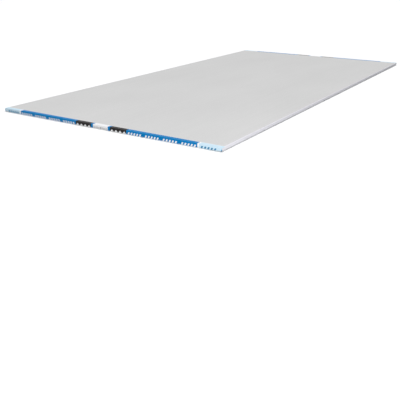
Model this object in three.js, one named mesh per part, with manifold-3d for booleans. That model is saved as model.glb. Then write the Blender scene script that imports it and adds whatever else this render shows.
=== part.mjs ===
// A 4 ft by 8 ft sheet of 5/8 in gypsum board with two tapered long edges, lying face down.
//
// Such sheets are packed in pairs, face to face, and a paper tape round each cut end ties a pair.
// This is the upper sheet of a pair: its grey back is up, its tapered face is underneath, and each
// cut end wears its own half of the tape, slit along the joint between the two sheets.
//
// Units are millimetres. +X runs across the sheet, +Y along it and +Z up. The origin lies under the
// middle of the sheet, on the plane of the flat part of its face.
import * as THREE from "three";
import { mergeVertices } from "three/addons/utils/BufferGeometryUtils.js";
import Module from "manifold-3d";

const INCH = 25.4;

// The sheet
const SHEET_WIDTH = 48 * INCH;
const SHEET_LENGTH = 96 * INCH;
const SHEET_THICKNESS = 0.625 * INCH;

// The tapers, which hold the joint compound once the sheet is hung
const TAPER_WIDTH = 2.25 * INCH; // from the long edge to where the face is flat
const TAPER_DEPTH = 1.6; // how much thinner the sheet is at its long edge
const TAPER_BREAK = 16; // length of the soft bend between the flat face and the taper

// The long edges, which the face paper is folded round
const BACK_FOLD_RADIUS = 1.2;
const FACE_FOLD_RADIUS = 2;

// The tape round each cut end of a pair
const TAPE_WIDTH = 3 * INCH; // before it is slit, from its edge on one back to its edge on the other
const TAPE_THICKNESS = 0.2;

// How finely curves are cut into facets
const FOLD_FACETS = 8;
const BEND_FACETS = 4;
const STRETCH_LENGTH = 12 * INCH; // the long faces are cut into stretches of about this length

const QUARTER_TURN = Math.PI / 2;

const wasm = await Module();
wasm.setup();

// A mesh geometry as a solid that can be joined to another.
function solidOf(geometry) {
  const bare = new THREE.BufferGeometry();
  bare.setAttribute("position", geometry.getAttribute("position"));
  const merged = mergeVertices(bare);
  return new wasm.Manifold(
    new wasm.Mesh({
      numProp: 3,
      vertProperties: merged.getAttribute("position").array,
      triVerts: new Uint32Array(merged.index.array),
    }),
  );
}

// A solid as a flat-shaded mesh geometry.
function geometryOf(solid) {
  const { numProp, vertProperties, triVerts } = solid.getMesh();
  const corners = new THREE.BufferAttribute(vertProperties, numProp);
  const indexed = new THREE.BufferGeometry();
  indexed.setAttribute("position", corners);
  indexed.setIndex(new THREE.BufferAttribute(triVerts, 1));
  const geometry = indexed.toNonIndexed();
  geometry.computeVertexNormals();
  return geometry;
}

// The sheet's section, seen along +Y: x across the sheet and y up, with the face at y = 0.
// Each long edge goes from the flat face through a soft break into the taper, round the face fold,
// up the edge and round the back fold. Arcs meet straight lines at a tangent.
function sheetSection() {
  const edge = SHEET_WIDTH / 2;
  const taperStart = edge - TAPER_WIDTH;
  const slope = Math.atan2(TAPER_DEPTH, TAPER_WIDTH);
  const breakHalf = TAPER_BREAK / 2;
  const breakRise = breakHalf * Math.tan(slope);
  const faceFoldX = edge - FACE_FOLD_RADIUS;
  const faceFoldY =
    (faceFoldX - taperStart) * Math.tan(slope) +
    FACE_FOLD_RADIUS / Math.cos(slope);
  const backFoldX = edge - BACK_FOLD_RADIUS;
  const backFoldY = SHEET_THICKNESS - BACK_FOLD_RADIUS;

  const section = new THREE.Shape();
  section.moveTo(taperStart - breakHalf, 0);
  section.quadraticCurveTo(taperStart, 0, taperStart + breakHalf, breakRise);
  section.absarc(faceFoldX, faceFoldY, FACE_FOLD_RADIUS, slope - QUARTER_TURN, 0);
  section.absarc(backFoldX, backFoldY, BACK_FOLD_RADIUS, 0, QUARTER_TURN);
  section.absarc(-backFoldX, backFoldY, BACK_FOLD_RADIUS, QUARTER_TURN, Math.PI);
  section.absarc(
    -faceFoldX,
    faceFoldY,
    FACE_FOLD_RADIUS,
    Math.PI,
    3 * QUARTER_TURN - slope,
  );
  section.lineTo(-taperStart - breakHalf, breakRise);
  section.quadraticCurveTo(-taperStart, 0, -taperStart + breakHalf, 0);
  return section;
}

// The section carried along the sheet from y = start to y = end.
function sectionAlongSheet(start, end, stretches) {
  const geometry = new THREE.ExtrudeGeometry(sheetSection(), {
    depth: end - start,
    steps: stretches,
    curveSegments: FOLD_FACETS,
    bevelEnabled: false,
  });
  return geometry.rotateX(QUARTER_TURN).translate(0, end, 0);
}

// The tape's lap on the back, with the bend that turns it down over the cut end. Its side view has
// u out of the sheet's end and v up: a strip on the back, then a quarter ring about the end's arris.
function lapAndBend() {
  const lap = (TAPE_WIDTH - 2 * SHEET_THICKNESS) / 2;
  const flatBack = SHEET_WIDTH - 2 * BACK_FOLD_RADIUS;
  const side = new THREE.Shape();
  side.moveTo(-lap, 0);
  side.lineTo(TAPE_THICKNESS, 0);
  side.absarc(0, 0, TAPE_THICKNESS, 0, QUARTER_TURN);
  side.lineTo(-lap, TAPE_THICKNESS);
  const geometry = new THREE.ExtrudeGeometry(side, {
    depth: flatBack,
    curveSegments: BEND_FACETS,
    bevelEnabled: false,
  });
  // u turns to +Y, v stays up, and the strip is centred across the sheet
  geometry.translate(0, 0, -flatBack / 2).rotateX(QUARTER_TURN).rotateZ(QUARTER_TURN);
  return geometry.translate(0, SHEET_LENGTH / 2, SHEET_THICKNESS);
}

// Half a tape at the sheet's +Y end: a leaf of the sheet's own section over the cut end, joined to
// the lap on the back.
function endTapeGeometry() {
  const end = SHEET_LENGTH / 2;
  const leaf = sectionAlongSheet(end, end + TAPE_THICKNESS, 1);
  return geometryOf(solidOf(leaf).add(solidOf(lapAndBend())));
}

const BOARD_PAPER = { color: 0xd3d3d2, roughness: 0.9, metalness: 0 };
const PRINTED_TAPE = { color: 0x0a6cb4, roughness: 0.5, metalness: 0 };

function namedMesh(name, geometry, finish) {
  const mesh = new THREE.Mesh(geometry, new THREE.MeshStandardMaterial(finish));
  mesh.name = name;
  return mesh;
}

function buildSheet() {
  const stretches = Math.max(2, Math.round(SHEET_LENGTH / STRETCH_LENGTH));
  const geometry = sectionAlongSheet(-SHEET_LENGTH / 2, SHEET_LENGTH / 2, stretches);
  return namedMesh("sheet", geometry, BOARD_PAPER);
}

// The front end is the -Y end. Its tape is the back one turned half a turn about the upright axis.
function buildEndTapes() {
  const back = namedMesh("end_tape_back", endTapeGeometry(), PRINTED_TAPE);
  const front = namedMesh("end_tape_front", endTapeGeometry(), PRINTED_TAPE);
  front.rotation.z = Math.PI;
  return [front, back];
}

const drywallSheet = new THREE.Group();
drywallSheet.name = "drywall_sheet";
drywallSheet.add(buildSheet(), ...buildEndTapes());

export default drywallSheet;
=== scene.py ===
"""Dresses a drywall sheet: the board in its papers, the printed tape on its cut ends, and a plain studio.

Lengths are in metres. +X runs across the sheet, +Y along it and +Z up. The sheet lies face down: its grey
back paper is on top, and its pale face paper shows where it is folded round the long edges.
"""

from __future__ import annotations

import logging
import math
from dataclasses import dataclass, field
from enum import Enum

import bpy
import numpy as np
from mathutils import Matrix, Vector


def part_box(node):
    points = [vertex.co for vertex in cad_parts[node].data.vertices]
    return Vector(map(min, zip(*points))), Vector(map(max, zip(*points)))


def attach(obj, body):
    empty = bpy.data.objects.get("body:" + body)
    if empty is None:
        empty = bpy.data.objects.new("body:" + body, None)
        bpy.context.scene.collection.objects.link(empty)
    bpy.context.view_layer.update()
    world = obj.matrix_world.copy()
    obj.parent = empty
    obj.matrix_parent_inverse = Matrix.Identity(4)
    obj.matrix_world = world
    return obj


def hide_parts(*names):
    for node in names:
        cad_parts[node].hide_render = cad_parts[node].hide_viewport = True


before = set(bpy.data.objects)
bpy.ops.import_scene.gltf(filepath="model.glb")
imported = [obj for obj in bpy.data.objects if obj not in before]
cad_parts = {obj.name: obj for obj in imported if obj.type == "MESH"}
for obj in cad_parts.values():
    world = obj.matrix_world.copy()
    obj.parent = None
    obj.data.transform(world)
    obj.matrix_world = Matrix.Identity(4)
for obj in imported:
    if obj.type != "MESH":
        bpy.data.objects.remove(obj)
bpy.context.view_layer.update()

LOG = logging.getLogger("drywall_sheet")
MM = 0.001
BODY = "root"
PICTURE_CHART = "OFBake"  # the UV layout in which the pieces' surfaces are laid out for their pictures
LAYER_STEP = (3.7, 6.3, 2.2)  # how far each layer of a pattern is moved from the last, so that no two match
SPOT_CORE = 0.4  # the share of a spot's radius that is at full strength
MIX_UNDER, MIX_OVER, MIX_RESULT = 6, 7, 2  # the numbers of a Mix node's colour sockets
STATION_DECIMALS = 7  # how finely stations along a section are told apart

Colour = tuple[float, float, float]
Place = tuple[float, float, float]
Span = tuple[float, float]  # a noise's first and full level, or a least and a most


def srgb(red: int, green: int, blue: int) -> Colour:
    """Makes a colour linear from its levels on a screen.

    A dark level is divided by 12.92. Any other has 0.055 added, is divided by 1.055 and is raised to the
    power of 2.4.

    Args:
        red: The red level, from 0 to 255.
        green: The green level, from 0 to 255.
        blue: The blue level, from 0 to 255.

    Returns:
        The three linear levels, from 0 to 1.
    """
    levels = np.array([red, green, blue]) / 255
    linear = np.where(levels <= 0.04045, levels / 12.92, ((levels + 0.055) / 1.055) ** 2.4)
    return tuple(float(level) for level in linear)


# ---- Node patterns ----


@dataclass(frozen=True)
class Field:
    """A number that is known at every point of a surface: a node's output, which formulas can use."""

    graph: Graph
    socket: bpy.types.NodeSocket

    def __add__(self, other: Number) -> Field:
        """This plus other."""
        return self.graph.calculate("ADD", self, other)

    def __sub__(self, other: Number) -> Field:
        """This minus other."""
        return self.graph.calculate("SUBTRACT", self, other)

    def __mul__(self, other: Number) -> Field:
        """This times other."""
        return self.graph.calculate("MULTIPLY", self, other)

    def __truediv__(self, other: Number) -> Field:
        """This over other."""
        return self.graph.calculate("DIVIDE", self, other)

    def __abs__(self) -> Field:
        """The distance from zero."""
        return self.graph.calculate("ABSOLUTE", self)

    def repeated(self, period: float) -> Field:
        """The remainder over a period, from 0 to the period, so that what is made of it repeats."""
        return self.graph.calculate("WRAP", self, period, 0.0)

    def ramp(self, low: float, high: float, at_low: float = 0.0, at_high: float = 1.0) -> Field:
        """Goes straight from one level to another, and stays level before and after.

        Args:
            low: Where in this field the ramp starts.
            high: Where it ends.
            at_low: The level at its start.
            at_high: The level at its end.

        Returns:
            The ramp.
        """
        node = self.graph.nodes.new("ShaderNodeMapRange")
        for socket, value in zip(node.inputs, (self, low, high, at_low, at_high)):
            self.graph.feed(socket, value)
        return Field(self.graph, node.outputs[0])

    def within(self, low: float, high: float, blur: float) -> Field:
        """1 where this is between low and high and 0 elsewhere, with edges as soft as blur."""
        middle, half = (low + high) / 2, (high - low) / 2
        return abs(self - middle).ramp(half - blur / 2, half + blur / 2, 1.0, 0.0)


Number = Field | float
Paint = Colour | bpy.types.NodeSocket


@dataclass(frozen=True)
class Grain:
    """A layer of soft noise: its lumps' size along x, y and z in millimetres, its swing and its octaves.

    The noise runs from minus the swing to the swing. The octaves are how many times it is repeated, each
    time half as large and half as strong.
    """

    size: Place
    swing: float
    octaves: float = 2.0


@dataclass(frozen=True)
class Sheen:
    """How a surface shines: its specular level, its roughness from smooth to rough, and its relief.

    The roughness follows a noise, and goes from smooth to rough as that goes from minus the swing to the
    swing. The relief is in metres, and a specular level of 0.5 is common plastic.
    """

    gloss: float
    smooth: float
    rough: float
    swing: float
    relief: float


class Graph:
    """A material's or a sky's nodes. Its methods add nodes and hand back their values as fields."""

    def __init__(self, owner: bpy.types.Material | bpy.types.World) -> None:
        """Starts with the few nodes that a new material or sky has.

        Args:
            owner: The material or the sky.
        """
        owner.use_nodes = True
        self.owner = owner
        self.nodes = owner.node_tree.nodes
        self.links = owner.node_tree.links
        self.layers = 0

    def feed(self, socket: bpy.types.NodeSocket, value: Number) -> None:
        """Gives an input its value.

        Args:
            socket: The input.
            value: A field to link to it, or a plain number to set.
        """
        if isinstance(value, Field):
            self.links.new(value.socket, socket)
        else:
            socket.default_value = value

    def calculate(self, operation: str, *values: Number) -> Field:
        """Does one step of arithmetic.

        Args:
            operation: The Math node's name for it.
            *values: The numbers or fields it takes, in order.

        Returns:
            The result.
        """
        node = self.nodes.new("ShaderNodeMath")
        node.operation = operation
        for socket, value in zip(node.inputs, values):
            self.feed(socket, value)
        return Field(self, node.outputs[0])

    def across(self) -> Field:
        """Finds how far across the sheet a point is.

        Returns:
            Its x in metres.
        """
        node = self.nodes.new("ShaderNodeSeparateXYZ")
        self.links.new(self.nodes.new("ShaderNodeTexCoord").outputs["Object"], node.inputs[0])
        return Field(self, node.outputs[0])

    def chart(self, name: str) -> tuple[Field, Field]:
        """Finds where a point is on the flattened surface.

        Args:
            name: The UV map that holds the flattened surface.

        Returns:
            The map's two values.
        """
        chart = self.nodes.new("ShaderNodeUVMap")
        chart.uv_map = name
        node = self.nodes.new("ShaderNodeSeparateXYZ")
        self.links.new(chart.outputs[0], node.inputs[0])
        return Field(self, node.outputs[0]), Field(self, node.outputs[1])

    def grained(self, size: Place) -> bpy.types.NodeSocket:
        """Measures a point's place in units of a pattern's own size, and moves each new layer elsewhere.

        Args:
            size: The pattern's size along x, y and z, in millimetres.

        Returns:
            The vector to give a texture.
        """
        self.layers += 1
        node = self.nodes.new("ShaderNodeMapping")
        self.links.new(self.nodes.new("ShaderNodeTexCoord").outputs["Object"], node.inputs["Vector"])
        node.inputs["Location"].default_value = tuple(self.layers * step for step in LAYER_STEP)
        node.inputs["Scale"].default_value = tuple(1 / (length * MM) for length in size)
        return node.outputs[0]

    def noise(self, grain: Grain) -> Field:
        """Makes soft noise: Blender's own, less 0.5, times twice the swing.

        Args:
            grain: Its size, swing and octaves.

        Returns:
            The noise, from minus the swing to the swing.
        """
        node = self.nodes.new("ShaderNodeTexNoise")
        self.links.new(self.grained(grain.size), node.inputs["Vector"])
        node.inputs["Scale"].default_value = 1.0
        node.inputs["Detail"].default_value = grain.octaves
        return (Field(self, node.outputs[0]) - 0.5) * (2 * grain.swing)

    def specks(self, cell: Place, reach: float) -> Field:
        """Makes small soft spots, one in each cell of a scattered grid.

        Args:
            cell: The size of a cell along x, y and z, in millimetres.
            reach: A spot's radius as a share of its cell.

        Returns:
            1 in the middle of a spot and 0 outside it.
        """
        node = self.nodes.new("ShaderNodeTexVoronoi")
        self.links.new(self.grained(cell), node.inputs["Vector"])
        node.inputs["Scale"].default_value = 1.0
        return Field(self, node.outputs["Distance"]).ramp(reach * SPOT_CORE, reach, 1.0, 0.0)

    def lay(self, share: Field, under: Paint, over: Paint) -> bpy.types.NodeSocket:
        """Lays one colour over another.

        Args:
            share: How much of the upper colour shows, from 0 to 1.
            under: The lower colour, or the output that gives it.
            over: The upper colour, or the output that gives it.

        Returns:
            The mixed colour.
        """
        node = self.nodes.new("ShaderNodeMix")
        node.data_type = "RGBA"
        self.feed(node.inputs["Factor"], share)
        for socket, paint in zip((node.inputs[MIX_UNDER], node.inputs[MIX_OVER]), (under, over)):
            if isinstance(paint, tuple):
                socket.default_value = (*paint, 1.0)
            else:
                self.links.new(paint, socket)
        return node.outputs[MIX_RESULT]

    def toned(self, tone: Field, plain: Colour, light: Colour, dark: Colour) -> bpy.types.NodeSocket:
        """Shades the plain colour towards light where the tone is above 0, and towards dark where below."""
        lighter = self.lay(tone.ramp(0.0, 1.0), plain, light)
        return self.lay(tone.ramp(-1.0, 0.0, 1.0, 0.0), lighter, dark)

    def finish(
        self, paint: bpy.types.NodeSocket, sheen: Sheen, tooth: Field, height: Field
    ) -> bpy.types.Material:
        """Gives the shader its colour, shine and relief.

        Args:
            paint: The colour.
            sheen: How it shines.
            tooth: The noise that its roughness follows.
            height: Its relief, where 1 is as high as the sheen's.

        Returns:
            The finished material.
        """
        bump, shader = self.nodes.new("ShaderNodeBump"), self.nodes["Principled BSDF"]
        self.feed(bump.inputs["Distance"], sheen.relief)
        self.feed(bump.inputs["Height"], height)
        self.links.new(bump.outputs[0], shader.inputs["Normal"])
        self.links.new(paint, shader.inputs["Base Color"])
        roughness = tooth.ramp(-sheen.swing, sheen.swing, sheen.smooth, sheen.rough)
        self.feed(shader.inputs["Roughness"], roughness)
        self.feed(shader.inputs["Specular IOR Level"], sheen.gloss)
        return self.owner

    def by_sight(self, shone: float, seen: float) -> Field:
        """Makes a level that is one thing where it is seen and another where it lights the sheet.

        Args:
            shone: The level for soft light on the sheet.
            seen: The level for the camera, and for what shows in or through a shiny surface.

        Returns:
            The level.
        """
        rays = self.nodes.new("ShaderNodeLightPath").outputs
        sight = Field(self, rays["Is Camera Ray"])
        for name in ("Is Glossy Ray", "Is Transmission Ray"):
            sight = self.calculate("MAXIMUM", sight, Field(self, rays[name]))
        return sight.ramp(0.0, 1.0, shone, seen)


# ---- Finishes ----


@dataclass(frozen=True)
class BackPaper:
    """The grey paper on the back: pulp of old paper, soft and dull, with its grain along the sheet."""

    plain: Colour = srgb(208, 208, 208)
    light: Colour = srgb(228, 228, 228)
    dark: Colour = srgb(188, 188, 188)
    fleck: Colour = srgb(150, 147, 142)
    clouds: Grain = Grain((220, 500, 220), 0.2, 3.0)
    streaks: Grain = Grain((9, 700, 9), 0.11)
    pulp: Grain = Grain((4, 9, 4), 0.25, 3.0)
    fibres: Grain = Grain((0.4, 2.2, 0.6), 0.3, 3.0)
    fleck_cell: Place = (2.8, 4.5, 2.8)
    fleck_reach: float = 0.09
    fleck_share: float = 0.6
    sheen: Sheen = Sheen(gloss=0.15, smooth=0.84, rough=0.95, swing=0.1, relief=0.06 * MM)

    def material(self) -> bpy.types.Material:
        """Makes clouds and streaks of lighter and darker pulp, short fibres and small dark flecks.

        Returns:
            The material.
        """
        graph = Graph(bpy.data.materials.new("back_paper"))
        pulp, fibres = graph.noise(self.pulp), graph.noise(self.fibres)
        tone = graph.noise(self.clouds) + graph.noise(self.streaks) + pulp + fibres
        paint = graph.toned(tone, self.plain, self.light, self.dark)
        flecks = graph.specks(self.fleck_cell, self.fleck_reach)
        paint = graph.lay(flecks * self.fleck_share, paint, self.fleck)
        return graph.finish(paint, self.sheen, pulp, fibres + pulp)


@dataclass(frozen=True)
class FacePaper:
    """The pale paper on the face, smoother than the back's and folded round the long edges."""

    edge: float
    plain: Colour = srgb(230, 230, 237)
    light: Colour = srgb(246, 246, 250)
    dark: Colour = srgb(211, 211, 221)
    scuff: Colour = srgb(190, 189, 192)
    clouds: Grain = Grain((150, 400, 150), 0.25, 3.0)
    fibres: Grain = Grain((0.5, 3, 0.5), 0.2, 3.0)
    creases: Grain = Grain((20, 300, 0.6), 0.3, 3.0)
    rubs: Grain = Grain((10, 50, 2), 1.0, 4.0)
    rub_levels: Span = (0.04, 0.6)
    rub_share: float = 0.5
    wear_start: float = 4.0 * MM
    wear_full: float = 1.0 * MM
    sheen: Sheen = Sheen(gloss=0.25, smooth=0.66, rough=0.8, swing=0.1, relief=0.05 * MM)

    def material(self) -> bpy.types.Material:
        """Makes faint clouds and fibres, with fine creases and a little grey rubbed on along the edge.

        Returns:
            The material.
        """
        graph = Graph(bpy.data.materials.new("face_paper"))
        at_edge = abs(graph.across()).ramp(self.edge - self.wear_start, self.edge - self.wear_full)
        clouds, fibres = graph.noise(self.clouds), graph.noise(self.fibres)
        paint = graph.toned(clouds + fibres, self.plain, self.light, self.dark)
        rubbed = graph.noise(self.rubs).ramp(*self.rub_levels) * at_edge
        paint = graph.lay(rubbed * self.rub_share, paint, self.scuff)
        height = fibres + graph.noise(self.creases) * at_edge
        return graph.finish(paint, self.sheen, clouds, height)


@dataclass(frozen=True)
class Gypsum:
    """The core where the sheet was cut: chalky, off-white and full of small bubbles."""

    plain: Colour = srgb(236, 233, 226)
    # the darker colour painted into the pits as the shade in their hollows
    pit_shade: Colour = srgb(196, 191, 182)
    chalk: Grain = Grain((3, 3, 3), 0.5, 4.0)
    pit_cell: Place = (2.2, 2.2, 2.2)
    pit_reach: float = 0.4
    pit_shade_share: float = 0.6
    sheen: Sheen = Sheen(gloss=0.1, smooth=0.9, rough=1.0, swing=0.2, relief=0.3 * MM)

    def material(self) -> bpy.types.Material:
        """Makes chalk with pits that are sunk in its relief and painted darker as shade.

        Returns:
            The material.
        """
        graph = Graph(bpy.data.materials.new("gypsum"))
        pits = graph.specks(self.pit_cell, self.pit_reach)
        chalk = graph.noise(self.chalk)
        # The pits' darker colour is painted shade in the bubbles' hollows, laid over the chalk.
        paint = graph.lay(pits * self.pit_shade_share, self.plain, self.pit_shade)
        return graph.finish(paint, self.sheen, chalk, chalk - pits)


class Motif(Enum):
    """The small marks that fill a stretch of the printed tape."""

    NONE = "none"
    SLANTS = "slants"
    DIAMONDS = "diamonds"
    RULE = "rule"


@dataclass(frozen=True)
class Stretch:
    """A stretch of the tape's print, alike on either side of the middle: its start and what fills it."""

    start: float
    ground: Colour
    motif: Motif = Motif.NONE
    mark: Colour = (0.0, 0.0, 0.0)


@dataclass(frozen=True)
class TapePrint:
    """The tape's print: plain fields of colour, with marks in a row that straddles the joint of a pair.

    u runs along the tape from its middle, and v across it, from the slit at the joint to the edge on the
    back. The slit leaves half of each mark, and a narrow margin at the edge on the back is bare.
    """

    chart: str
    tape_edge: float
    blue: Colour = srgb(0, 120, 184)
    charcoal: Colour = srgb(44, 42, 42)
    white: Colour = srgb(240, 241, 243)
    pale_blue: Colour = srgb(200, 225, 240)
    teal: Colour = srgb(50, 128, 168)
    grey: Colour = srgb(112, 113, 117)
    dust: Colour = srgb(226, 226, 224)
    wander: Grain = Grain((0.6, 0.6, 0.6), 0.25 * MM)
    cover: Grain = Grain((2.5, 2.5, 2.5), 1.0, 3.0)
    fibres: Grain = Grain((0.5, 2, 0.5), 0.1)
    creases: Grain = Grain((9, 40, 40), 0.4, 3.0)
    dusting: Grain = Grain((30, 12, 5), 1.0, 5.0)
    bare_levels: Span = (-0.3, 0.6)
    bare_share: float = 0.006
    dust_levels: Span = (0.1, 0.7)
    dust_share: float = 0.03
    sheen: Sheen = Sheen(gloss=0.05, smooth=0.42, rough=0.58, swing=0.4, relief=0.12 * MM)
    ink_blur: float = 0.35 * MM
    bare_margin: float = 1.5 * MM
    row_half: float = 9.2 * MM
    slant_pitch: float = 15.0 * MM
    slant_width: float = 8.0 * MM
    slant_lean: float = 0.45
    slants_together: int = 5
    diamond_pitch: float = 22.5 * MM
    diamond_reach: float = 8.7 * MM
    rule_pitch: float = 6.0 * MM
    rule_width: float = 2.0 * MM

    def stretches(self) -> list[Stretch]:
        """Lists the print from the middle of the tape outward.

        Returns:
            The stretches, each of which runs to where the next one starts.
        """
        return [
            Stretch(0 * MM, self.white, Motif.RULE, self.grey),
            Stretch(42 * MM, self.blue),
            Stretch(54 * MM, self.charcoal, Motif.DIAMONDS, self.white),
            Stretch(144 * MM, self.blue, Motif.SLANTS, self.white),
            Stretch(498 * MM, self.white),
            Stretch(506 * MM, self.pale_blue, Motif.SLANTS, self.teal),
        ]

    def slants(self, u: Field, v: Field) -> Field:
        """Slanting bars in groups, with one left out after each group.

        u less v times the lean is divided by the bars' pitch, and a bar shows where the remainder is in the
        bar's share of the pitch. The same number over a whole group's length tells which bar is left out.

        Args:
            u: Distance from the start of the stretch.
            v: Distance from the slit.

        Returns:
            1 on a bar and 0 elsewhere.
        """
        leaning = u - v * self.slant_lean
        first = self.slant_pitch - self.slant_width
        last = self.slant_pitch - self.ink_blur
        bar = leaning.repeated(self.slant_pitch).within(first, last, self.ink_blur)
        turn = leaning.repeated(self.slant_pitch * (self.slants_together + 1))
        return bar * turn.within(0.0, self.slant_pitch * self.slants_together, self.ink_blur)

    def diamonds(self, u: Field, v: Field) -> Field:
        """Diamonds in a row.

        A diamond's middle lies on the slit, in the middle of its pitch. The distance from there along the
        tape over the diamond's reach, and the distance across it over the row's half height, add up to 1
        at the diamond's edge.

        Args:
            u: Distance from the start of the stretch.
            v: Distance from the slit.

        Returns:
            1 on a diamond and 0 elsewhere.
        """
        along = abs(u.repeated(self.diamond_pitch) - self.diamond_pitch / 2) / self.diamond_reach
        across = v / self.row_half
        return (along + across).ramp(1.0 - self.ink_blur / self.row_half, 1.0, 1.0, 0.0)

    def marks(self, motif: Motif, u: Field, v: Field) -> Field | None:
        """Finds where a motif's marks are printed.

        Args:
            motif: Which marks.
            u: Distance from the start of the stretch.
            v: Distance from the slit.

        Returns:
            1 on a mark and 0 elsewhere, or None if the motif has no marks.
        """
        in_row = v.ramp(self.row_half - self.ink_blur, self.row_half, 1.0, 0.0)
        if motif is Motif.SLANTS:
            return self.slants(u, v) * in_row
        if motif is Motif.DIAMONDS:
            return self.diamonds(u, v)
        if motif is Motif.RULE:
            return u.repeated(self.rule_pitch).within(0.0, self.rule_width, self.ink_blur) * in_row
        return None

    def printed(self, graph: Graph, u: Field, v: Field) -> bpy.types.NodeSocket:
        """Prints the stretches, each over the outer part of the one before, and leaves the margin bare.

        Args:
            graph: The material's nodes.
            u: Distance from the middle of the tape.
            v: Distance from the slit.

        Returns:
            The colour.
        """
        paint: Paint = self.white
        for stretch in self.stretches():
            here = u.ramp(stretch.start - self.ink_blur, stretch.start)
            paint = graph.lay(here, paint, stretch.ground)
            marks = self.marks(stretch.motif, u - stretch.start, v)
            if marks is not None:
                paint = graph.lay(marks * here, paint, stretch.mark)
        print_edge = self.tape_edge - self.bare_margin
        return graph.lay(v.ramp(print_edge - self.ink_blur, print_edge), paint, self.white)

    def material(self) -> bpy.types.Material:
        """Makes ink on thin paper: slightly ragged edges, uneven cover, a little dust and fine creases.

        Returns:
            The material.
        """
        graph = Graph(bpy.data.materials.new("printed_tape"))
        u, v = graph.chart(self.chart)
        wander, cover = graph.noise(self.wander), graph.noise(self.cover)
        paint = self.printed(graph, abs(u) + wander, v + wander)
        paint = graph.lay(cover.ramp(*self.bare_levels, 0.0, self.bare_share), paint, self.white)
        dust = graph.noise(self.dusting).ramp(*self.dust_levels, 0.0, self.dust_share)
        paint = graph.lay(dust, paint, self.dust)
        height = graph.noise(self.creases) + graph.noise(self.fibres)
        return graph.finish(paint, self.sheen, cover, height)


# ---- Meshes ----


@dataclass
class Surface:
    """A mesh in the making: its points, and for each face its corners, its finish and its chart places."""

    points: np.ndarray
    faces: list[np.ndarray] = field(default_factory=list)
    finishes: list[np.ndarray] = field(default_factory=list)
    charts: dict[str, list[np.ndarray]] = field(default_factory=dict)

    def add(self, corners: np.ndarray, finish: int | np.ndarray = 0, **charts: np.ndarray) -> None:
        """Adds faces.

        Args:
            corners: One row of point numbers for each face.
            finish: The material slot of all of them, or of each.
            **charts: For each UV map, by its name, the two values at each corner of each face.
        """
        self.faces.append(corners)
        self.finishes.append(np.broadcast_to(finish, len(corners)))
        for name, places in charts.items():
            self.charts.setdefault(name, []).append(places)

    def to_object(self, name: str, sharp_angle: float = math.pi) -> bpy.types.Object:
        """Makes the piece, with smooth faces that part at sharp edges.

        Args:
            name: The piece's name.
            sharp_angle: The least turn between two faces, in radians, that shows as an edge.

        Returns:
            The new object at the origin, linked to the scene.
        """
        mesh = bpy.data.meshes.new(name)
        mesh.from_pydata(self.points, [], [face for block in self.faces for face in block.tolist()])
        mesh.polygons.foreach_set("material_index", np.concatenate(self.finishes).astype(np.int32))
        mesh.polygons.foreach_set("use_smooth", np.ones(len(mesh.polygons), bool))
        mesh.set_sharp_from_angle(angle=sharp_angle)
        for chart, blocks in self.charts.items():
            places = np.concatenate([block.reshape(-1, 2) for block in blocks])
            mesh.uv_layers.new(name=chart).data.foreach_set("uv", places.ravel())
        piece = bpy.data.objects.new(name, mesh)
        bpy.context.scene.collection.objects.link(piece)
        return piece


def grid_faces(rows: int, columns: int, closed: bool = False) -> np.ndarray:
    """Makes the four-cornered faces of a grid whose points are numbered row by row.

    Each face joins a point, the next one in its row, that one's neighbour in the next row, and its own.

    Args:
        rows: How many rows of points there are.
        columns: How many points a row holds.
        closed: Whether each row's last point joins its first.

    Returns:
        One row of four point numbers for each face.
    """
    number = np.arange(rows * columns).reshape(rows, columns)
    here, beside = (number, np.roll(number, -1, axis=1)) if closed else (number[:, :-1], number[:, 1:])
    return np.stack([here[:-1], beside[:-1], beside[1:], here[1:]], axis=-1).reshape(-1, 4)


def spaced(start: float, end: float, step: float) -> np.ndarray:
    """Evenly spaced numbers from start to end, both included, about a step apart."""
    return np.linspace(start, end, max(2, round(abs(end - start) / step) + 1))


def merged(*stations: np.ndarray) -> np.ndarray:
    """Joins stations into one rising row, without the ones that fall together."""
    return np.unique(np.round(np.concatenate(stations), STATION_DECIMALS))


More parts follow.
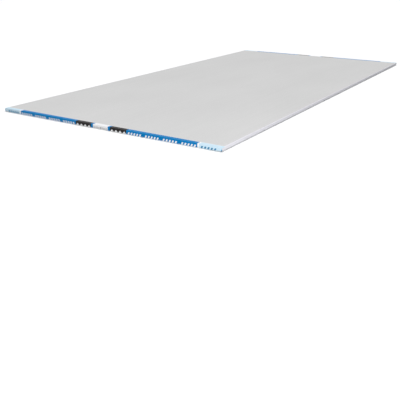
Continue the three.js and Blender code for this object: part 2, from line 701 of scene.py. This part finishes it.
@dataclass
class Section:
    """The board's section: how high its face and its back lie, from the middle out to a long edge."""

    width: float
    thickness: float
    taper_width: float = 57.15 * MM
    taper_depth: float = 1.6 * MM
    taper_break: float = 16.0 * MM
    face_fold: float = 2.0 * MM
    back_fold: float = 1.2 * MM
    fold_steps: int = 12
    back_margin: float = 4.0 * MM
    paper: float = 0.28 * MM
    paper_step: float = 0.1 * MM
    flap_end: float = 28.0 * MM
    flap_dip: float = 0.08 * MM
    flap_blur: float = 1.6 * MM

    @property
    def edge(self) -> float:
        """Distance from the middle to the long edge."""
        return self.width / 2

    @staticmethod
    def fold(past: np.ndarray, radius: float) -> np.ndarray:
        """How far a quarter round has turned away, at distances past its start."""
        # The radius, less the root of the radius squared less the distance squared
        return radius - np.sqrt(radius**2 - np.clip(past, 0, radius) ** 2)

    def taper(self, x: np.ndarray) -> np.ndarray:
        """The taper: flat before the break, a parabola across it, and a straight slope past it.

        The slope is the taper's depth over its width. Across the break, the height is the slope times the
        square of the distance into it over twice its length. Past it, the height is the slope times the
        distance from the break's middle.

        Args:
            x: Distances from the middle.

        Returns:
            Heights above the flat face.
        """
        slope = self.taper_depth / self.taper_width
        into = np.maximum(np.abs(x) - (self.edge - self.taper_width - self.taper_break / 2), 0)
        parabola = into**2 / (2 * self.taper_break)
        return slope * np.where(into < self.taper_break, parabola, into - self.taper_break / 2)

    def face(self, x: np.ndarray) -> np.ndarray:
        """How high the face lies at a distance from the middle: the taper and the fold, added up."""
        return self.taper(x) + self.fold(np.abs(x) - self.edge + self.face_fold, self.face_fold)

    def back(self, x: np.ndarray) -> np.ndarray:
        """The back: the back paper's top, a straight step down to the margin, and the fold at the edge.

        Where the hidden flap of face paper ends, the back dips in a bell curve: e to the power of minus the
        square of the distance from there over the blur.

        Args:
            x: Distances from the middle.

        Returns:
            Heights above the flat face.
        """
        x = np.abs(x)
        step = np.clip((x - self.edge + self.back_margin) / self.paper_step, 0, 1)
        dip = np.exp(-(((x - self.edge + self.flap_end) / self.flap_blur) ** 2))
        fold = self.fold(x - self.edge + self.back_fold, self.back_fold)
        return self.thickness - self.paper * step - self.flap_dip * dip - fold

    def edge_stations(self) -> np.ndarray:
        """Where the section is sampled at the long edge: at the paper's step, and round the larger fold.

        Returns:
            Distances from the middle.
        """
        step = self.edge - self.back_margin + np.array([0, self.paper_step])
        angle = np.linspace(0, np.pi / 2, self.fold_steps + 1)
        return np.concatenate([step, self.edge - max(self.face_fold, self.back_fold) * (1 - np.sin(angle))])

    def stations(self, coarse: float, fine: float) -> np.ndarray:
        """Where the section is sampled: coarsely where it is flat, and finely from the taper's break on.

        Args:
            coarse: The spacing where it is flat.
            fine: The spacing from the break to the edge of the back paper.

        Returns:
            Distances from the middle, rising from one long edge to the other.
        """
        break_start = self.edge - self.taper_width - self.taper_break / 2
        flat = spaced(0, break_start, coarse)
        bent = spaced(break_start, self.edge - self.back_margin, fine)
        half = merged(flat, bent, self.edge_stations())
        return np.concatenate([-half[:0:-1], half])


class Skin(Enum):
    """What covers a face of the board, as the number of its material slot."""

    BACK_PAPER = 0
    FACE_PAPER = 1
    GYPSUM = 2


@dataclass
class Board:
    """The board: one solid with its section carried along its length."""

    section: Section
    length: float
    row_spacing: float = 40.0 * MM
    column_spacing: float = 24.0 * MM
    taper_spacing: float = 1.25 * MM
    edge_spacing: float = 2.5 * MM
    wave: float = 0.12 * MM
    wave_seed: int = 11
    wave_across: Span = (0.35, 1.4)
    wave_along: Span = (0.5, 1.6)
    ripples: int = 5
    calm: float = 60.0 * MM
    skin_top: float = 0.95
    edge_zoom: float = 5.0
    face_zoom: float = 0.7
    edge_reach: float = 6.0 * MM
    cut_margin: float = 0.2
    sharp_angle: float = math.radians(35)

    def ring(self) -> tuple[np.ndarray, np.ndarray, np.ndarray]:
        """The section's outline: across the back, down one edge, across the face and up the other edge.

        Returns:
            x, z and whether each point lies on the back.
        """
        x = self.section.stations(self.column_spacing, self.taper_spacing)
        low, high = self.section.face(x[-1:])[0], self.section.back(x[-1:])[0]
        rise = spaced(low, high, self.edge_spacing)[1:-1]
        across = np.concatenate([x, np.full(rise.size, x[-1]), x[::-1], np.full(rise.size, x[0])])
        up = np.concatenate([self.section.back(x), rise[::-1], self.section.face(x[::-1]), rise])
        return across, up, np.arange(across.size) < x.size

    def sag(self, x: np.ndarray, y: np.ndarray) -> np.ndarray:
        """How far the back sinks in long, shallow waves.

        Each ripple is a cosine with its own wavelengths across and along the sheet. The sag is half the
        wave's depth, times 1 plus the mean of the ripples. There is none at the long edges or within the
        calm's length of the cut ends, and it comes in over that length.

        Args:
            x: Distances from the middle of the width.
            y: Distances from the middle of the length.

        Returns:
            Depths, from 0 to the wave's depth.
        """
        random = np.random.default_rng(self.wave_seed)
        total = np.zeros(np.broadcast(x, y).shape)
        for _ in range(self.ripples):
            across, along = random.uniform(*self.wave_across), random.uniform(*self.wave_along)
            total += np.cos(2 * np.pi * (x / across + y / along) + random.uniform(0, 2 * np.pi))
        from_end = np.clip((self.length / 2 - np.abs(y)) / self.calm - 1, 0, 1)
        from_side = np.clip((self.section.edge - np.abs(x)) / self.calm, 0, 1)
        return self.wave * from_end * from_side * (1 + total / self.ripples) / 2

    @staticmethod
    def halfway(x: np.ndarray) -> np.ndarray:
        """How far from the sheet's middle each side of the ring has its own middle."""
        return np.abs(x + np.roll(x, -1)) / 2

    def unrolled(self, x: np.ndarray, z: np.ndarray, on_back: np.ndarray) -> np.ndarray:
        """Lays the ring out straight, with the long edges drawn larger than the back, and the face smaller.

        A point's place is the length of the ring up to it, with each side of the ring counted by its zoom,
        over the length of the whole.

        Args:
            x: The ring's x.
            z: The ring's z.
            on_back: Whether each of its points lies on the back.

        Returns:
            A place for each point, and one more for the first point at the ring's end, from 0 to skin_top.
        """
        length = np.hypot(np.roll(x, -1) - x, np.roll(z, -1) - z)
        at_edge = self.halfway(x) > self.section.edge - self.edge_reach
        zoom = np.where(at_edge, self.edge_zoom, np.where(on_back, 1.0, self.face_zoom))
        passed = np.concatenate([[0], np.cumsum(length * zoom)])
        return self.skin_top * passed / passed[-1]

    def skins(self, x: np.ndarray, on_back: np.ndarray) -> np.ndarray:
        """Which paper covers each side of the ring.

        Args:
            x: The ring's x.
            on_back: Whether each of its points lies on the back.

        Returns:
            A material slot for each side, which runs from one point to the next.
        """
        paper_edge = self.section.edge - self.section.back_margin + self.section.paper_step
        papered = on_back & np.roll(on_back, -1) & (self.halfway(x) < paper_edge)
        return np.where(papered, Skin.BACK_PAPER.value, Skin.FACE_PAPER.value)

    def cuts(self, surface: Surface, x: np.ndarray, z: np.ndarray, rows: int) -> None:
        """Closes the cut ends, each with one face that is laid out in its own strip above the skin.

        Args:
            surface: The board's mesh, to which they are added.
            x: The ring's x.
            z: The ring's z.
            rows: How many rings there are along the sheet.
        """
        corners = np.arange(x.size)[None]
        strip = (1 - self.skin_top) / 2
        across = x / self.section.width + 0.5
        high = z / self.section.thickness
        up = self.skin_top + strip * (self.cut_margin + (1 - 2 * self.cut_margin) * high)
        places = np.stack([across, up], axis=-1)[None]
        surface.add(corners[:, ::-1], Skin.GYPSUM.value, **{PICTURE_CHART: places[:, ::-1]})
        far = corners + (rows - 1) * x.size
        surface.add(far, Skin.GYPSUM.value, **{PICTURE_CHART: places + [0, strip]})

    def build(self) -> bpy.types.Object:
        """Makes the board and dresses it in its papers.

        Returns:
            The board's object.
        """
        x, z, on_back = self.ring()
        y = spaced(-self.length / 2, self.length / 2, self.row_spacing)[:, None]
        points = np.empty((y.size, x.size, 3))
        points[..., 0] = x
        points[..., 1] = y
        points[..., 2] = z - np.where(on_back, self.sag(x, y), 0)
        surface = Surface(points.reshape(-1, 3))
        round_it = self.unrolled(x, z, on_back)
        layout = np.stack(np.meshgrid(y / self.length + 0.5, round_it, indexing="ij"), axis=-1)
        places = layout.reshape(-1, 2)[grid_faces(y.size, round_it.size)]
        skin = np.tile(self.skins(x, on_back), y.size - 1)
        surface.add(grid_faces(y.size, x.size, closed=True), skin, **{PICTURE_CHART: places})
        self.cuts(surface, x, z, y.size)
        piece = surface.to_object("papered_board", self.sharp_angle)
        finishes = {
            Skin.BACK_PAPER: BackPaper(),
            Skin.FACE_PAPER: FacePaper(self.section.edge),
            Skin.GYPSUM: Gypsum(),
        }
        for skin in Skin:
            piece.data.materials.append(finishes[skin].material())
        return piece


class End(Enum):
    """A cut end of the sheet, as the sign of its y."""

    FRONT = -1
    BACK = 1


class Side(Enum):
    """A side of the tape, as the shares of a strip's height between which the picture's layout holds it."""

    PRINTED = (0.02, 0.84)
    GLUED = (0.88, 0.97)


@dataclass
class EndTape:
    """The sheet's half of the tape round one cut end: a leaf down the end and a lap on the back."""

    section: Section
    end: End
    length: float
    lap: float
    thickness: float
    column_spacing: float = 8.0 * MM
    row_spacing: float = 2.2 * MM
    bend_rows: int = 6
    glue: float = 0.01 * MM
    slack: float = 0.05 * MM
    crease_seed: int = 20
    crease_length: Span = (0.04, 0.3)
    ripples: int = 6
    slit_seed: int = 30
    ragged_slit: float = 0.35 * MM
    raggedness: int = 3
    lap_wander: float = 0.5 * MM
    wander_length: float = 0.7
    strips: int = 5
    strip_margin: float = 0.015
    sharp_angle: float = math.radians(50)
    print_chart: str = "tape_chart"

    def stations(self) -> np.ndarray:
        """Where the tape is sampled across the sheet.

        Returns:
            Distances from the middle, rising, with the board's own close to its long edges.
        """
        near = self.section.edge_stations()
        flat = spaced(-near.min(), near.min(), self.column_spacing)
        return merged(-near, flat, near)

    def lifts(self, x: np.ndarray) -> np.ndarray:
        """How far the printed side stands off the board: the thickness, less the slack that creases take.

        Each ripple is a sine of its own wavelength. The slack that is taken up is half of it, times 1 less
        the mean of the ripples.

        Args:
            x: Stations across the sheet.

        Returns:
            The distance at each station.
        """
        random = np.random.default_rng(self.crease_seed + self.end.value)
        wavelength = random.uniform(*self.crease_length, (self.ripples, 1))
        start = random.uniform(0, 2 * np.pi, (self.ripples, 1))
        ripple = np.sin(2 * np.pi * x / wavelength + start).mean(axis=0)
        return self.thickness - self.slack * (1 - ripple) / 2

    def side(self, x: np.ndarray, lift: float | np.ndarray) -> tuple[np.ndarray, np.ndarray]:
        """One side of the tape, which runs up the cut end and onto the back.

        The leaf rises from the slit to the back, as far past the cut end as the lift. The bend is a quarter
        circle of that radius about the back's arris. The lap runs inward as far above the back as the lift.
        The slit stands above the face by its ragged size times a random share, raised to the power of the
        raggedness. The lap falls short by half its wander times 1 plus a sine along the tape.

        Args:
            x: Stations across the sheet.
            lift: The side's distance from the board, at all stations or at each.

        Returns:
            A grid of points, one row for each station, and their distances along and across the tape.
        """
        random = np.random.default_rng(self.slit_seed + self.end.value)
        lift = np.broadcast_to(lift, x.shape)[:, None]
        back = self.section.back(x)[:, None]
        torn = self.ragged_slit * random.random((x.size, 1)) ** self.raggedness
        slit = self.section.face(x)[:, None] + torn
        wave = np.sin(2 * np.pi * x[:, None] / self.wander_length + self.end.value)
        lap = self.lap - self.lap_wander * (1 + wave) / 2
        up_leaf = slit + (back - slit) * spaced(0, 1, self.row_spacing / self.section.thickness)[None, :-1]
        turn = np.linspace(0, np.pi / 2, self.bend_rows + 1)[None]
        inward = lap * spaced(0, 1, self.row_spacing / self.lap)[None, 1:]
        past = np.hstack([lift + 0 * up_leaf, lift * np.cos(turn), -inward])
        z = np.hstack([up_leaf, back + lift * np.sin(turn), back + lift + 0 * inward])
        bend = self.thickness * turn
        across = np.hstack([up_leaf, back + bend, back + bend[:, -1:] + inward])
        along = np.broadcast_to(x[:, None], z.shape)
        points = np.stack([along, self.end.value * (self.length / 2 + past), z], axis=-1)
        return points, np.stack([along, across], axis=-1)

    @staticmethod
    def rim(shape: tuple[int, int]) -> tuple[np.ndarray, np.ndarray]:
        """Goes once round a side's rim: up the first station, along the lap, down the last, and back.

        Args:
            shape: How many stations the side has, and how many points each of them holds.

        Returns:
            The points' numbers in order, and which way along and across the tape is outward at each.
        """
        number = np.arange(shape[0] * shape[1]).reshape(shape)
        loop = np.concatenate([number[0, :-1], number[:-1, -1], number[-1, :0:-1], number[:0:-1, 0]])
        sides = np.tile([shape[1] - 1, shape[0] - 1], 2)
        return loop, np.repeat([[-1, 0], [0, 1], [1, 0], [0, -1]], sides, axis=0)

    def layout(self, chart: np.ndarray, side: Side) -> np.ndarray:
        """Lays faces out for the pictures: the tape is cut into strips, which lie one above another.

        A face goes to the strip that its middle is in. Its places run along the strip, inside a margin at
        either end, and across the share of the strip's height that its side of the tape has.

        Args:
            chart: Distances along the tape and across it, at each corner of each face.
            side: Which side of the tape the faces are on.

        Returns:
            The places in the unit square.
        """
        low, high = side.value
        along = (chart[..., 0] / self.section.width + 0.5) * self.strips
        strip = np.clip(np.floor(along.mean(axis=1, keepdims=True)), 0, self.strips - 1)
        across = chart[..., 1] / (self.section.thickness + self.lap + self.thickness)
        u = self.strip_margin + (1 - 2 * self.strip_margin) * (along - strip)
        v = (strip + low + (high - low) * across) / self.strips
        return np.stack([u, v], axis=-1)

    def build(self, finish: bpy.types.Material) -> bpy.types.Object:
        """Makes the tape as a closed shell: its printed side, its glued side and the thin walls round them.

        Args:
            finish: The printed tape's material.

        Returns:
            The tape's object.
        """
        x = self.stations()
        outer, chart = self.side(x, self.lifts(x))
        inner, _ = self.side(x, self.glue)
        stations, steps, _ = outer.shape
        chart = chart.reshape(-1, 2)
        bare = chart * [1, 0] + [0, self.section.thickness + self.lap]
        loop, outward = self.rim((stations, steps))
        after, behind = np.roll(loop, -1), stations * steps
        outside = grid_faces(stations, steps)
        inside = outside[:, ::-1]
        walls = np.stack([loop, loop, after, after], axis=-1)
        beside = chart[walls]
        beside[:, 1:3] += outward[:, None] * self.thickness
        blocks = (
            (outside, chart[outside], self.layout(chart[outside], Side.PRINTED)),
            (inside + behind, bare[inside], self.layout(chart[inside], Side.GLUED)),
            (walls + [0, behind, behind, 0], beside, self.layout(beside, Side.PRINTED)),
        )
        surface = Surface(np.concatenate([outer.reshape(-1, 3), inner.reshape(-1, 3)]))
        for corners, places, pictured in blocks:
            turn = slice(None, None, self.end.value)
            charts = {self.print_chart: places[:, turn], PICTURE_CHART: pictured[:, turn]}
            surface.add(corners[:, turn], **charts)
        piece = surface.to_object(f"printed_end_tape_{self.end.name.lower()}", self.sharp_angle)
        piece.data.materials.append(finish)
        return piece


# ---- Studio ----


class Shape(Enum):
    """The kinds of lamp, by the names that Blender gives them."""

    PANEL = "AREA"
    SKYLIGHT = "SUN"


@dataclass(frozen=True)
class Lamp:
    """A soft lamp that looks at a point.

    A panel's spread is its side in metres, and its power is in watts. A skylight shines alike everywhere,
    its spread is the angle that it fills in radians, and its power is in watts on each square metre.
    """

    name: str
    shape: Shape
    place: Place
    target: Place
    spread: float
    power: float

    def build(self) -> None:
        """Hangs the lamp, out of the camera's sight."""
        data = bpy.data.lights.new(self.name, self.shape.value)
        if self.shape is Shape.PANEL:
            data.size = self.spread
        else:
            data.angle = self.spread
        data.energy = self.power
        lamp = bpy.data.objects.new(self.name, data)
        lamp.location = self.place
        lamp.rotation_mode = "QUATERNION"
        lamp.rotation_quaternion = (Vector(self.target) - Vector(self.place)).to_track_quat("-Z", "Y")
        lamp.visible_camera = False
        bpy.context.scene.collection.objects.link(lamp)


@dataclass
class Studio:
    """A floor that keeps the sheet's shadow, an even sky and two soft lamps.

    The floor and the sky light the sheet at one level and are seen at another, which is white.
    """

    floor_half: float = 60.0
    floor_drop: float = 0.1 * MM
    floor_grey: float = 0.5
    floor_seen: float = 1.09
    sky: float = 0.28
    sky_seen: float = 1.0
    lamps: tuple[Lamp, ...] = (
        Lamp("overhead", Shape.SKYLIGHT, (-0.8, 1.6, 2.6), (0.0, 0.0, 0.0), 0.6, 2.47),
        Lamp("key", Shape.PANEL, (2.6, -3.6, 0.5), (0.6, -1.2, 0.0), 0.9, 95.0),
    )

    def build(self) -> None:
        """Lays the floor, lights the sky and hangs the lamps."""
        self.lay_floor()
        self.light_sky()
        for lamp in self.lamps:
            lamp.build()

    def lay_floor(self) -> None:
        """Lays a large flat square just under the sheet, which is seen whiter than it shines."""
        half, z = self.floor_half, -self.floor_drop
        corners = [[-half, -half, z], [half, -half, z], [half, half, z], [-half, half, z]]
        surface = Surface(np.array(corners))
        surface.add(np.arange(4)[None])
        floor = surface.to_object("floor")
        graph = Graph(bpy.data.materials.new("floor_white"))
        graph.nodes.remove(graph.nodes["Principled BSDF"])
        chalk = graph.nodes.new("ShaderNodeBsdfDiffuse")
        graph.feed(chalk.inputs["Color"], graph.by_sight(self.floor_grey, self.floor_seen))
        graph.links.new(chalk.outputs[0], graph.nodes["Material Output"].inputs["Surface"])
        floor.data.materials.append(graph.owner)

    def light_sky(self) -> None:
        """Lights an even sky, which is seen as plain white."""
        bpy.context.scene.world = bpy.data.worlds.new("sky")
        graph = Graph(bpy.context.scene.world)
        background = graph.nodes["Background"]
        background.inputs["Color"].default_value = (1, 1, 1, 1)
        graph.feed(background.inputs["Strength"], graph.by_sight(self.sky, self.sky_seen))


@dataclass
class Viewpoint:
    """The camera: where it stands, and how far it is turned from +Y and tilted down."""

    place: Place = (1.651, -3.003, 0.650)
    azimuth: float = math.radians(32.6)
    tilt: float = math.radians(22.3)
    picture_pixels: float = 400.0
    focal_pixels: float = 570.0
    sensor_millimetres: float = 36.0
    far_limit: float = 200.0

    def build(self) -> None:
        """Sets up the camera.

        It looks down by the tilt, and level with that along the minus sine of the azimuth in x and its
        cosine in y.
        """
        data = bpy.data.cameras.new("camera")
        data.sensor_width = self.sensor_millimetres
        data.lens = self.focal_pixels / self.picture_pixels * self.sensor_millimetres
        data.clip_end = self.far_limit
        camera = bpy.data.objects.new("camera", data)
        level = math.cos(self.tilt)
        ahead = (-math.sin(self.azimuth) * level, math.cos(self.azimuth) * level, -math.sin(self.tilt))
        camera.location = self.place
        camera.rotation_mode = "QUATERNION"
        camera.rotation_quaternion = Vector(ahead).to_track_quat("-Z", "Y")
        bpy.context.scene.collection.objects.link(camera)
        bpy.context.scene.camera = camera


def mount(piece: bpy.types.Object, node: str) -> None:
    """Puts a finished piece in the place of a CAD node and reports it.

    Args:
        piece: The finished piece.
        node: The CAD node that it stands for.
    """
    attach(piece, BODY)
    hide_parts(node)
    LOG.info("%s stands for %s: %d faces", piece.name, node, len(piece.data.polygons))


def main() -> None:
    """Builds the camera, the board, the tapes and the studio, in that order."""
    Viewpoint().build()
    low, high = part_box("sheet")
    tape_low, tape_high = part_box("end_tape_back")
    section = Section(width=high.x - low.x, thickness=high.z - low.z)
    length, lap = high.y - low.y, high.y - tape_low.y
    mount(Board(section, length).build(), "sheet")
    finish = TapePrint(EndTape.print_chart, section.thickness + lap).material()
    for end in End:
        tape = EndTape(section, end, length, lap, tape_high.y - high.y)
        mount(tape.build(finish), f"end_tape_{end.name.lower()}")
    Studio().build()
    bpy.context.scene.view_settings.view_transform = "Standard"


if __name__ == "__main__":
    logging.basicConfig(level=logging.INFO)
    main()
